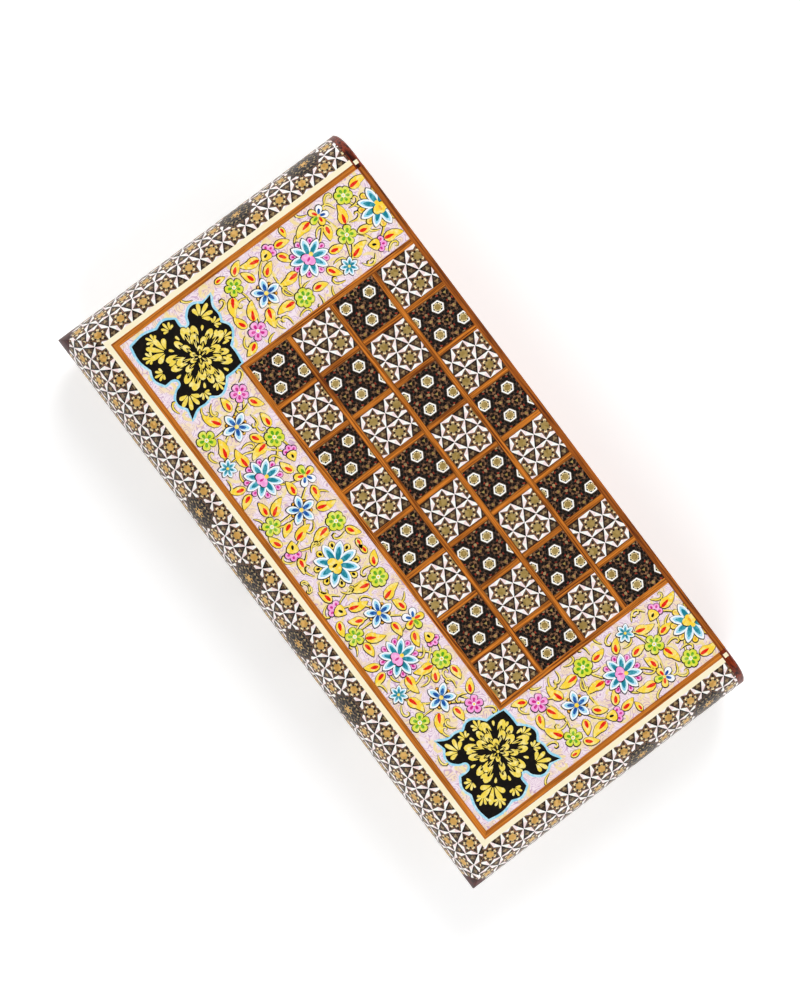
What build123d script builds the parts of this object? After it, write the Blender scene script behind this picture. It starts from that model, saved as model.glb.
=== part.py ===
"""Folding backgammon board, closed: a box of two halves that open on two hinges.

Millimetres, +Z up. The origin is the middle of the underside. X runs along the hinge, the hinge
side is +Y and the front is -Y. Each half is built lying on its outer face, and the lid is the
base turned over on the plane where the two rims meet.
"""
import os
from math import atan2, degrees

from build123d import *

os.makedirs("parts", exist_ok=True)

# Overall size, closed
BOARD_LENGTH = 500.0
BOARD_DEPTH = 250.0
HALF_HEIGHT = 37.0

# Rim: quarter-round mouldings on three sides, a straight rail on the hinge side
MOULDING_RUN = 25.0
SHOULDER_RADIUS = 19.0
RIM_LEDGE = 3.0
KHATAM_THICKNESS = 2.0
HINGE_RAIL_THICKNESS = 12.0
HINGE_LIP = 5.0
TIP_REACH = 15.0
CAP_THICKNESS = 6.0
CAP_BEVEL = 1.2
PEG_WIDTH = 3.2
PEG_LENGTH = 5.0
PEG_CLEARANCE = 0.02

# Outer face: veneers on a panel
VENEER_THICKNESS = 2.0
PANEL_THICKNESS = 4.0
BONE_BANDING_WIDTH = 4.0
WOOD_BANDING_WIDTH = 4.5
GLUE_LINE = 0.05
SQUARE = 33.5
STRIP_WIDTH = 4.5
SQUARES_ALONG = 8
SQUARES_ACROSS = 4

# Inside: playing field with its points, and the rails that the first counters sit against
FIELD_THICKNESS = 2.0
POINTS_PER_END = 6
POINT_GAP = 4.0
POINT_LENGTH = 165.0
POINT_SETBACK = 2.0
POINT_RAIL_WIDTH = 12.0
POINT_RAIL_HEIGHT = 10.0
SCALLOP_LAND = 5.0
SCALLOP_DEPTH = 9.0

# Magnets in the front rims
MAGNET_INSET = 150.0
MAGNET_RADIUS = 4.0
MAGNET_THICKNESS = 3.0
MAGNET_RECESS = 0.1
MAGNET_CLEARANCE = 0.05

# Hinges: the axis stands just outside the hinge side, level with the rims
HINGE_INSET = 100.0
HINGE_LENGTH = 40.0
KNUCKLES = 3
KNUCKLE_RADIUS = 2.5
KNUCKLE_GAP = 0.2
AXIS_STANDOFF = 0.25
PIN_RADIUS = 1.2
PIN_CLEARANCE = 0.05
LEAF_THICKNESS = 1.2
LEAF_REACH = 10.5
LEAF_RECESS = 0.1
LEAF_CLEARANCE = 0.1
KNUCKLE_CLEARANCE = 0.4
NOTCH_CLEARANCE = 0.5
SCREWS_PER_LEAF = 2
SCREW_SPACING = 24.0
SCREW_RADIUS = 1.0
SCREW_LENGTH = 9.0
SCREW_CLEARANCE = 0.05

# Places that follow from the sizes above
rim_width = MOULDING_RUN + RIM_LEDGE
barrel_stand_out = AXIS_STANDOFF + KNUCKLE_RADIUS
hinge_side = (BOARD_DEPTH - barrel_stand_out) / 2
front = hinge_side - BOARD_DEPTH
end = BOARD_LENGTH / 2
face_end = end - MOULDING_RUN
face_front = front + MOULDING_RUN
cap_inside = hinge_side - CAP_THICKNESS
cap_reach = max(BONE_BANDING_WIDTH + WOOD_BANDING_WIDTH, RIM_LEDGE)
field_end = end - rim_width
field_front = front + rim_width
field_back = hinge_side - HINGE_RAIL_THICKNESS
field_depth = field_back - field_front
field_middle = (field_back + field_front) / 2
point_pitch = field_depth / POINTS_PER_END
field_bottom = VENEER_THICKNESS + PANEL_THICKNESS
field_top = field_bottom + FIELD_THICKNESS
border_end = face_end - BONE_BANDING_WIDTH - WOOD_BANDING_WIDTH
border_front = face_front + BONE_BANDING_WIDTH + WOOD_BANDING_WIDTH
lip_front = hinge_side - HINGE_LIP
pitch = SQUARE + STRIP_WIDTH
grid_end = (SQUARES_ALONG * pitch + STRIP_WIDTH) / 2
grid_front = lip_front - SQUARES_ACROSS * pitch
join_plane = Plane.XY.offset(HALF_HEIGHT)

# Sketch planes for the mouldings' cross-sections: x points out of the box, y points up to the rim
front_section = Plane(origin=(end, face_front, HALF_HEIGHT), x_dir=(0, -1, 0), z_dir=(-1, 0, 0))
end_section = Plane(origin=(face_end, cap_inside, HALF_HEIGHT), x_dir=(1, 0, 0), z_dir=(0, -1, 0))
cap_section = Plane(origin=(face_end, hinge_side, HALF_HEIGHT), x_dir=(1, 0, 0), z_dir=(0, -1, 0))

# Cuts at the right front corner: the mitre, and the face that the corner tip is glued to
right_mitre = Plane(origin=(end, front, 0), z_dir=(-1, -1, 0))
right_tip_cut = Plane(origin=(end - TIP_REACH, front, 0), z_dir=(-1, 1, 0))
left_mitre = Plane(origin=(-end, front, 0), z_dir=(1, -1, 0))
left_tip_cut = Plane(origin=(-end + TIP_REACH, front, 0), z_dir=(1, 1, 0))


def quarter_round(inset):
    """The moulding's outline: a flat arc down the side that runs into a tight one at the shoulder.

    The side arc starts upright at the rim and the shoulder arc ends level with the outer face.
    The inset sets the whole outline in, for the core under the marquetry skin.
    """
    drop = HALF_HEIGHT - SHOULDER_RADIUS
    side_radius = (MOULDING_RUN**2 + HALF_HEIGHT**2 - 2 * HALF_HEIGHT * SHOULDER_RADIUS) / (
        2 * (MOULDING_RUN - SHOULDER_RADIUS)
    )
    meeting_angle = degrees(atan2(drop, side_radius - MOULDING_RUN))
    with BuildSketch() as outline:
        with BuildLine():
            side_arc = CenterArc(
                (MOULDING_RUN - side_radius, 0), side_radius - inset, 0, -meeting_angle
            )
            shoulder_arc = CenterArc(
                (0, -drop), SHOULDER_RADIUS - inset, -meeting_angle, meeting_angle - 90
            )
            Polyline(side_arc @ 0, (0, 0), shoulder_arc @ 1)
        make_face()
    return outline.sketch


def rail_section():
    """A moulding's solid wood core with the ledge that the panel's edge meets."""
    add(quarter_round(KHATAM_THICKNESS))
    Rectangle(RIM_LEDGE, HALF_HEIGHT - VENEER_THICKNESS, align=(Align.MAX, Align.MAX))


def khatam_section():
    """The curved marquetry skin over a moulding's core."""
    add(quarter_round(0))
    add(quarter_round(KHATAM_THICKNESS), mode=Mode.SUBTRACT)


def trim_front_corners():
    """Mitre a front moulding at both ends and cut it back for the corner tips."""
    for cut in (right_mitre, left_mitre, right_tip_cut, left_tip_cut):
        split(bisect_by=cut, keep=Keep.TOP)


def trim_end_corner():
    """Mitre the right end moulding at the front and cut it back for the corner tip."""
    split(bisect_by=right_mitre, keep=Keep.BOTTOM)
    split(bisect_by=right_tip_cut, keep=Keep.TOP)


def slab(x_low, x_high, y_low, y_high, z_low, z_high, mode=Mode.ADD):
    """A box given by its two corners."""
    with Locations(((x_low + x_high) / 2, (y_low + y_high) / 2, (z_low + z_high) / 2)):
        Box(x_high - x_low, y_high - y_low, z_high - z_low, mode=mode)


def mirrored(piece, plane):
    """The same piece on the other side of a plane."""
    with BuildPart() as copy:
        mirror(piece, about=plane)
    return copy.part


def mitred_banding(outer_end, outer_front, back, width):
    """Three veneer strips round the front and both ends, mitred, with a glue line in each mitre."""
    inner_end = outer_end - width
    inner_front = outer_front + width
    with BuildPart() as banding:
        with BuildSketch():
            with BuildLine():
                Polyline(
                    (-outer_end + GLUE_LINE, outer_front),
                    (outer_end - GLUE_LINE, outer_front),
                    (inner_end - GLUE_LINE, inner_front),
                    (-inner_end + GLUE_LINE, inner_front),
                    close=True,
                )
            make_face()
            with BuildLine():
                Polyline(
                    (outer_end, outer_front),
                    (outer_end, back),
                    (inner_end, back),
                    (inner_end, inner_front),
                    close=True,
                )
            side_strip = make_face()
            mirror(side_strip, about=Plane.YZ)
        extrude(amount=VENEER_THICKNESS)
    return banding.part


def square_centres(parity):
    """Centres of every other square. Row 0 is at the hinge side, column 0 at the left end."""
    return [
        (
            -grid_end + STRIP_WIDTH + SQUARE / 2 + column * pitch,
            lip_front - SQUARE / 2 - row * pitch,
        )
        for row in range(SQUARES_ACROSS)
        for column in range(SQUARES_ALONG)
        if (row + column) % 2 == parity
    ]


def squares(parity):
    """Every other square of marquetry, let in flush with the lattice."""
    with BuildPart() as inlay:
        with BuildSketch():
            with Locations(*square_centres(parity)):
                Rectangle(SQUARE, SQUARE)
        extrude(amount=VENEER_THICKNESS)
    return inlay.part


def point_rows(parity):
    """Side (+1 right, -1 left) and middle Y of every other point; opposite points differ."""
    rows = []
    for side, side_parity in ((1, 0), (-1, 1)):
        for number in range(POINTS_PER_END):
            if (number + side_parity) % 2 == parity:
                rows.append((side, field_front + (number + 0.5) * point_pitch))
    return rows


def point_outlines(parity):
    """Long triangles that run from the end walls towards the middle."""
    base_x = field_end - POINT_SETBACK
    tip_x = base_x - POINT_LENGTH
    half_base = (point_pitch - POINT_GAP) / 2
    for side, middle in point_rows(parity):
        Polygon(
            (side * base_x, middle - half_base),
            (side * base_x, middle + half_base),
            (side * tip_x, middle),
            align=None,
        )


def points(parity):
    """Every other point, let in flush with the playing field."""
    with BuildPart() as inlay:
        with BuildSketch(Plane.XY.offset(field_bottom)):
            point_outlines(parity)
        extrude(amount=FIELD_THICKNESS)
    return inlay.part


# Front rail: solid wood, drilled from the rim for the magnets
magnet_y = front + rim_width / 2
magnet_places = [(side * (end - MAGNET_INSET), magnet_y, HALF_HEIGHT) for side in (-1, 1)]
with BuildPart() as front_rail:
    with BuildSketch(front_section):
        rail_section()
    extrude(amount=BOARD_LENGTH)
    trim_front_corners()
    with Locations(*magnet_places):
        Hole(MAGNET_RADIUS + MAGNET_CLEARANCE, depth=MAGNET_THICKNESS + MAGNET_RECESS)

with BuildPart() as magnets:
    with Locations(*magnet_places):
        with Locations((0, 0, -MAGNET_RECESS)):
            Cylinder(
                MAGNET_RADIUS,
                MAGNET_THICKNESS,
                align=(Align.CENTER, Align.CENTER, Align.MAX),
            )

# End rails: solid wood, stopped short of the hinge side by the end caps
with BuildPart() as right_end_rail:
    with BuildSketch(end_section):
        rail_section()
    extrude(amount=cap_inside - front)
    trim_end_corner()

# Marquetry skins over the three mouldings
with BuildPart() as front_khatam:
    with BuildSketch(front_section):
        khatam_section()
    extrude(amount=BOARD_LENGTH)
    trim_front_corners()

with BuildPart() as right_end_khatam:
    with BuildSketch(end_section):
        khatam_section()
    extrude(amount=cap_inside - front)
    trim_end_corner()

# Corner tips: hard dark wood where the two roundings meet
with BuildPart() as corner_tips:
    with BuildSketch(front_section):
        add(quarter_round(0))
    extrude(amount=MOULDING_RUN)
    with BuildSketch(end_section):
        add(quarter_round(0))
    extrude(amount=cap_inside - front, mode=Mode.INTERSECT)
    split(bisect_by=right_tip_cut, keep=Keep.BOTTOM)
    mirror(about=Plane.YZ)

# End caps: the moulding's whole outline in hard wood, bevelled round its outer edge, with a square
# bone peg let into the flat
peg_places = [(side * (face_end - BONE_BANDING_WIDTH), hinge_side - CAP_THICKNESS / 2) for side in (-1, 1)]
with BuildPart() as end_caps:
    with BuildSketch(cap_section):
        add(quarter_round(0))
        Rectangle(cap_reach, HALF_HEIGHT, align=(Align.MAX, Align.MAX))
    extrude(amount=CAP_THICKNESS)
    outer_arcs = end_caps.edges().group_by(Axis.Y)[-1].filter_by(GeomType.CIRCLE)
    chamfer(outer_arcs, min(CAP_BEVEL, CAP_THICKNESS / 2))
    mirror(about=Plane.YZ)
    with BuildSketch():
        with Locations(*peg_places):
            Rectangle(PEG_WIDTH + 2 * PEG_CLEARANCE, PEG_WIDTH + 2 * PEG_CLEARANCE)
    extrude(amount=PEG_LENGTH, mode=Mode.SUBTRACT)

with BuildPart() as cap_pegs:
    with BuildSketch():
        with Locations(*peg_places):
            Rectangle(PEG_WIDTH, PEG_WIDTH)
    extrude(amount=PEG_LENGTH)

# Hinges: where the axis, the leaves and the screws are
axis_y = hinge_side + AXIS_STANDOFF
leaf_top = HALF_HEIGHT - LEAF_RECESS
leaf_edge = axis_y - KNUCKLE_RADIUS - KNUCKLE_CLEARANCE
leaf_back = axis_y - LEAF_REACH
knuckle_length = HINGE_LENGTH / KNUCKLES
notch_length = HINGE_LENGTH + 2 * NOTCH_CLEARANCE
hinge_places = {"left": HINGE_INSET - end, "right": end - HINGE_INSET}
screw_y = (leaf_edge + leaf_back) / 2
screw_head_radius = SCREW_RADIUS + LEAF_THICKNESS
screw_offsets = [
    (number - (SCREWS_PER_LEAF - 1) / 2) * SCREW_SPACING for number in range(SCREWS_PER_LEAF)
]
screw_places = [(x + offset, screw_y) for x in hinge_places.values() for offset in screw_offsets]


def hinge_axis_plane(x):
    """The plane square to the hinge axis at X, with its origin on the axis."""
    return Plane(origin=(x, axis_y, HALF_HEIGHT), x_dir=(0, 1, 0), z_dir=(1, 0, 0))


def rod(x_low, x_high, radius, mode=Mode.ADD):
    """A round bar on the hinge axis."""
    with Locations(hinge_axis_plane(x_low)):
        Cylinder(radius, x_high - x_low, align=(Align.CENTER, Align.CENTER, Align.MIN), mode=mode)


def hinge_leaf(middle, parity):
    """A leaf lying in the base's rim, with every other knuckle of the barrel rolled on its edge."""
    low = middle - HINGE_LENGTH / 2
    with BuildPart() as leaf:
        slab(low, low + HINGE_LENGTH, leaf_back, leaf_edge, leaf_top - LEAF_THICKNESS, leaf_top)
        for number in range(parity, KNUCKLES, 2):
            start = low + number * knuckle_length + KNUCKLE_GAP / 2
            stop = start + knuckle_length - KNUCKLE_GAP
            slab(start, stop, leaf_edge, axis_y, leaf_top - LEAF_THICKNESS, leaf_top)
            rod(start, stop, KNUCKLE_RADIUS)
        rod(low, low + HINGE_LENGTH, PIN_RADIUS + PIN_CLEARANCE, mode=Mode.SUBTRACT)
        with Locations(*[(middle + offset, screw_y, leaf_top) for offset in screw_offsets]):
            CounterSinkHole(
                SCREW_RADIUS + SCREW_CLEARANCE,
                screw_head_radius + SCREW_CLEARANCE,
                depth=LEAF_THICKNESS,
                counter_sink_angle=90,
            )
    return leaf.part


def hinge_pin(middle):
    """The wire through all the knuckles, cut off flush with the barrel's ends."""
    with BuildPart() as pin:
        rod(middle - HINGE_LENGTH / 2, middle + HINGE_LENGTH / 2, PIN_RADIUS)
    return pin.part


# Hinge rail: rebated for the veneers and the end caps, notched and mortised for the hinges
with BuildPart() as hinge_rail:
    slab(-field_end, field_end, field_back, hinge_side, 0, HALF_HEIGHT)
    slab(-end, end, front, lip_front, 0, VENEER_THICKNESS, mode=Mode.SUBTRACT)
    for side in (-1, 1):
        cap_edges = sorted((side * end, side * (face_end - cap_reach)))
        slab(*cap_edges, cap_inside, hinge_side, 0, HALF_HEIGHT, mode=Mode.SUBTRACT)
    for x in hinge_places.values():
        rod(
            x - notch_length / 2,
            x + notch_length / 2,
            KNUCKLE_RADIUS + NOTCH_CLEARANCE,
            mode=Mode.SUBTRACT,
        )
        slab(
            x - HINGE_LENGTH / 2 - LEAF_CLEARANCE,
            x + HINGE_LENGTH / 2 + LEAF_CLEARANCE,
            leaf_back - LEAF_CLEARANCE,
            hinge_side,
            leaf_top - LEAF_THICKNESS,
            HALF_HEIGHT,
            mode=Mode.SUBTRACT,
        )
    with Locations(*[(x, y, leaf_top) for x, y in screw_places]):
        Hole(SCREW_RADIUS + SCREW_CLEARANCE, depth=SCREW_LENGTH)

# Countersunk wood screws: the head is as deep as the leaf, and the end is cut square
with BuildPart() as screw:
    with BuildSketch(Plane.XZ):
        with BuildLine():
            Polyline(
                (0, 0),
                (screw_head_radius, 0),
                (SCREW_RADIUS, -LEAF_THICKNESS),
                (SCREW_RADIUS, -SCREW_LENGTH),
                (0, -SCREW_LENGTH),
                close=True,
            )
        make_face()
    revolve(axis=Axis.Z)

with BuildPart() as hinge_screws:
    with Locations(*[(x, y, leaf_top) for x, y in screw_places]):
        add(screw.part)

# Panel that carries the outer veneers and the playing field
with BuildPart() as panel:
    slab(-field_end, field_end, field_front, field_back, VENEER_THICKNESS, field_bottom)

# Playing field: a veneer with a pocket for each point
with BuildPart() as playing_field:
    with BuildSketch(Plane.XY.offset(field_bottom)):
        with Locations((0, field_middle)):
            Rectangle(2 * field_end, field_depth)
    extrude(amount=FIELD_THICKNESS)
    with BuildSketch(Plane.XY.offset(field_bottom)):
        point_outlines(0)
        point_outlines(1)
    extrude(amount=FIELD_THICKNESS, mode=Mode.SUBTRACT)

# Point rail: one scallop for the first counter of each point
rail_edge = field_end - POINT_RAIL_WIDTH
scallop_chord = point_pitch - SCALLOP_LAND
scallop_radius = (scallop_chord**2 / 4 + SCALLOP_DEPTH**2) / (2 * SCALLOP_DEPTH)
with BuildPart() as right_point_rail:
    with BuildSketch(Plane.XY.offset(field_top)):
        with Locations((field_end, field_middle)):
            Rectangle(POINT_RAIL_WIDTH, field_depth, align=(Align.MAX, Align.CENTER))
        with Locations((rail_edge + SCALLOP_DEPTH - scallop_radius, field_middle)):
            with GridLocations(0, point_pitch, 1, POINTS_PER_END):
                Circle(scallop_radius, mode=Mode.SUBTRACT)
    extrude(amount=POINT_RAIL_HEIGHT)

# Painted border: a U-shaped veneer round the lattice, open to the hinge lip
with BuildPart() as painted_border:
    slab(-border_end, border_end, border_front, lip_front, 0, VENEER_THICKNESS)
    slab(-grid_end, grid_end, grid_front, lip_front, 0, VENEER_THICKNESS, mode=Mode.SUBTRACT)

# Lattice between the squares: long strips run through, cross strips are cut between them
inner_grid_end = grid_end - STRIP_WIDTH
with BuildPart() as lattice_long_strips:
    for row in range(1, SQUARES_ACROSS):
        strip_back = lip_front - row * pitch + STRIP_WIDTH
        slab(
            -inner_grid_end,
            inner_grid_end,
            strip_back - STRIP_WIDTH,
            strip_back,
            0,
            VENEER_THICKNESS,
        )

with BuildPart() as lattice_cross_strips:
    with BuildSketch():
        with Locations((0, (lip_front + grid_front + STRIP_WIDTH) / 2)):
            with GridLocations(pitch, pitch, SQUARES_ALONG - 1, SQUARES_ACROSS):
                Rectangle(STRIP_WIDTH, SQUARE)
    extrude(amount=VENEER_THICKNESS)

# One half, piece by piece, as it lies in the base
half = {
    "front_rail": front_rail.part,
    "right_end_rail": right_end_rail.part,
    "left_end_rail": mirrored(right_end_rail.part, Plane.YZ),
    "hinge_rail": hinge_rail.part,
    "end_caps": end_caps.part,
    "cap_pegs": cap_pegs.part,
    "corner_tips": corner_tips.part,
    "front_khatam": front_khatam.part,
    "right_end_khatam": right_end_khatam.part,
    "left_end_khatam": mirrored(right_end_khatam.part, Plane.YZ),
    "panel": panel.part,
    "playing_field": playing_field.part,
    "right_point_rail": right_point_rail.part,
    "left_point_rail": mirrored(right_point_rail.part, Plane.YZ),
    "painted_border": painted_border.part,
    "bone_banding": mitred_banding(face_end, face_front, cap_inside, BONE_BANDING_WIDTH),
    "wood_banding": mitred_banding(
        face_end - BONE_BANDING_WIDTH,
        face_front + BONE_BANDING_WIDTH,
        cap_inside,
        WOOD_BANDING_WIDTH,
    ),
    "lattice_edge_strips": mitred_banding(grid_end, grid_front, lip_front, STRIP_WIDTH),
    "lattice_long_strips": lattice_long_strips.part,
    "lattice_cross_strips": lattice_cross_strips.part,
    "dark_squares": squares(0),
    "light_squares": squares(1),
    "dark_points": points(0),
    "light_points": points(1),
    "magnets": magnets.part,
    "hinge_screws": hinge_screws.part,
}

# Light and dark change places in the lid, so that the opened board alternates across the hinge
lid_name = {
    "dark_squares": "light_squares",
    "light_squares": "dark_squares",
    "dark_points": "light_points",
    "light_points": "dark_points",
}


def save(piece, name):
    """Label a finished piece and write its file."""
    piece.label = name
    export_step(piece, f"parts/{name}.step")


for name, piece in half.items():
    save(mirrored(piece, join_plane), f"lid_{lid_name.get(name, name)}")
    save(piece, f"base_{name}")

for side, x in hinge_places.items():
    save(hinge_leaf(x, 0), f"{side}_hinge_base_leaf")
    save(mirrored(hinge_leaf(x, 1), join_plane), f"{side}_hinge_lid_leaf")
    save(hinge_pin(x), f"{side}_hinge_pin")
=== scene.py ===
from itertools import count
from math import atan2, cos, degrees, pi, radians, sin, sqrt

import bmesh
import bpy
from mathutils import Matrix, Vector


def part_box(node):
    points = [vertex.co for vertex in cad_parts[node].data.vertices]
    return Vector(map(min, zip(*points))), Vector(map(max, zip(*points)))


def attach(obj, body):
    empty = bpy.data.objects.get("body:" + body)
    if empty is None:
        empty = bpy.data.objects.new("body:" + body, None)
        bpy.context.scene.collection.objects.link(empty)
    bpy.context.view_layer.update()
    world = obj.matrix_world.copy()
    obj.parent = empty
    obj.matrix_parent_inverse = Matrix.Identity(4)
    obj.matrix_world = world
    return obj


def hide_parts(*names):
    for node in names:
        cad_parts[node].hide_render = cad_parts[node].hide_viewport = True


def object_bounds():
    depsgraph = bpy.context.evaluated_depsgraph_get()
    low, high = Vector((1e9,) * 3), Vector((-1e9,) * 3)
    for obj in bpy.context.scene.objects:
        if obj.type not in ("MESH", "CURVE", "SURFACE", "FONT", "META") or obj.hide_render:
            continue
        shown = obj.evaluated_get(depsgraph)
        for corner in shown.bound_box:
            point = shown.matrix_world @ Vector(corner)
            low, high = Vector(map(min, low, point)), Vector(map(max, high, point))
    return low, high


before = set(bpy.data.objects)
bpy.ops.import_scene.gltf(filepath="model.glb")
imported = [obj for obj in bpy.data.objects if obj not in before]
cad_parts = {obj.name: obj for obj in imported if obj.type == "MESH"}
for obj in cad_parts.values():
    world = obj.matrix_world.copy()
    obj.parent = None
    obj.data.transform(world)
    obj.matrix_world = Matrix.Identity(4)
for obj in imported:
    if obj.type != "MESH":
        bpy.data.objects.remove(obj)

cad_box = [list(corner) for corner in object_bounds()]


# Studio
# The board lies on a plain pale table top under a white sky that is dimmer overhead, so that the
# lacquer doesn't mirror it straight up, with two large soft lamps beside it.
MM = 0.001
FLOOR_SIZE = 12.0
FLOOR_GAP = 0.0002
FLOOR_LIFT = 0.3
SKY_LEVEL = 1.16
SKY_DIM = 0.12
LENS = 79.2
CAMERA_PLACE = Vector((-52.2, -73.4, 1642.6)) * MM
CAMERA_AIM = Vector((-8.4, 2.1, 37.0)) * MM
CAMERA_ROLL = radians(142.96)
LAMPS = (
    ("key_lamp", (-1.5, 1.6, 1.7), 1.6, 40.0),
    ("fill_lamp", (1.7, -1.3, 1.5), 2.0, 29.0),
)


def linear(hex_colour):
    """Linear RGBA of an sRGB hex colour."""
    parts = [int(hex_colour[i:i + 2], 16) / 255 for i in (1, 3, 5)]
    return [c / 12.92 if c <= 0.04045 else ((c + 0.055) / 1.055) ** 2.4 for c in parts] + [1.0]


def add(tree, kind, sockets=None, **settings):
    """Adds a shader node. Sockets are given a value, or the output that is linked to them."""
    node = tree.nodes.new("ShaderNode" + kind)
    for name, value in settings.items():
        setattr(node, name, value)
    for socket, value in (sockets or {}).items():
        if isinstance(value, bpy.types.NodeSocket):
            tree.links.new(value, node.inputs[socket])
        else:
            node.inputs[socket].default_value = value
    return node


def empty_material(name):
    material = bpy.data.materials.new(name)
    material.use_nodes = True
    material.node_tree.nodes.clear()
    return material, material.node_tree


def as_mesh(bm, name="part"):
    mesh = bpy.data.meshes.new(name)
    bm.to_mesh(mesh)
    bm.free()
    return mesh


def aimed(obj, place, aim, roll_hint):
    """Stands a camera or lamp at place, looking at aim, with roll_hint as its upward direction."""
    back = (place - aim).normalized()
    right = roll_hint.cross(back).normalized()
    up = back.cross(right)
    obj.matrix_world = Matrix.Translation(place) @ Matrix((right, up, back)).transposed().to_4x4()
    bpy.context.scene.collection.objects.link(obj)
    return obj


camera = bpy.data.objects.new("camera", bpy.data.cameras.new("camera"))
camera.data.lens = LENS
camera.data.sensor_width = 36.0
camera.data.clip_end = 50.0
aimed(camera, CAMERA_PLACE, CAMERA_AIM, Vector((cos(CAMERA_ROLL), sin(CAMERA_ROLL), 0)))
bpy.context.scene.camera = camera
bpy.context.scene.view_settings.view_transform = "Standard"

for lamp_name, lamp_place, lamp_size, watts in LAMPS:
    lamp = bpy.data.lights.new(lamp_name, "AREA")
    lamp.shape = "DISK"
    lamp.size = lamp_size
    lamp.energy = watts
    aimed(bpy.data.objects.new(lamp_name, lamp), Vector(lamp_place), Vector((0, 0, 0)), Vector((0, 0, 1)))

world = bpy.data.worlds.new("studio sky")
world.use_nodes = True
bpy.context.scene.world = world
sky = world.node_tree
sky.nodes.clear()
direction = add(sky, "SeparateXYZ", {0: add(sky, "TexCoord").outputs["Generated"]})
height = add(sky, "MapRange", {
    "Value": direction.outputs["Z"], "From Min": 0.3, "From Max": 0.85,
    "To Min": SKY_LEVEL, "To Max": SKY_DIM,
}, interpolation_type="SMOOTHSTEP")
background = add(sky, "Background", {"Color": (1, 1, 1, 1), "Strength": height.outputs[0]})
add(sky, "OutputWorld", {"Surface": background.outputs[0]})

table_top, tree = empty_material("matt white table top")
matt = add(tree, "BsdfPrincipled", {
    "Base Color": linear("#F8F8F8"), "Roughness": 0.9, "Specular IOR Level": 0.1,
})
seen = add(tree, "Math", {
    0: add(tree, "LightPath").outputs["Is Camera Ray"], 1: FLOOR_LIFT,
}, operation="MULTIPLY")
lift = add(tree, "Emission", {"Color": (1, 1, 1, 1), "Strength": seen.outputs[0]})
whole = add(tree, "AddShader", {0: matt.outputs[0], 1: lift.outputs[0]})
add(tree, "OutputMaterial", {"Surface": whole.outputs[0]})
bm = bmesh.new()
bmesh.ops.create_grid(bm, x_segments=1, y_segments=1, size=FLOOR_SIZE / 2)
bmesh.ops.translate(bm, vec=(0, 0, -FLOOR_GAP), verts=bm.verts)
mesh = as_mesh(bm, "table_top")
mesh.materials.append(table_top)
floor = bpy.data.objects.new("table_top", mesh)
bpy.context.scene.collection.objects.link(floor)


# Rails and panels
# Each half is a shallow tray: mitred moulded rails round a thin panel, with a walnut playing field
# inside. The woods are stained and lie under many coats of clear lacquer, rubbed to a deep gloss.
HALVES = ("base", "lid")
MITRE_AT_FACE = 123.625
GRAIN_RUN = 45.0
LACQUER_RIPPLE = 9.0
LACQUER_DEPTH = 0.012
# Painted shade along the lattice strips' edges: its colour, where it starts and ends as shares of a strip's
# width, and how far its edge wanders in mm.
STRIP_EDGE_SHADE = "#2E1206"
EDGE_SHADE_START, EDGE_SHADE_END, EDGE_SHADE_WANDER = 0.44, 0.68, 1.6


def lacquered(name, roughness=0.42, coat=0.4):
    """A material under clear lacquer, whose slow ripple gives its reflections a soft, hand-rubbed edge."""
    material, tree = empty_material(name)
    ripple = add(tree, "TexNoise", {
        "Vector": add(tree, "TexCoord").outputs["Object"], "Scale": 1 / (LACQUER_RIPPLE * MM), "Detail": 1.0,
    })
    bump = add(tree, "Bump", {
        "Strength": 1.0, "Distance": LACQUER_DEPTH * MM, "Height": ripple.outputs["Fac"],
    })
    surface = add(tree, "BsdfPrincipled", {
        "Roughness": roughness, "Specular IOR Level": 0.15, "Coat Weight": coat, "Coat Roughness": 0.09,
        "Coat Normal": bump.outputs[0],
    })
    add(tree, "OutputMaterial", {"Surface": surface.outputs[0]})
    return material, tree, surface


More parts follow.
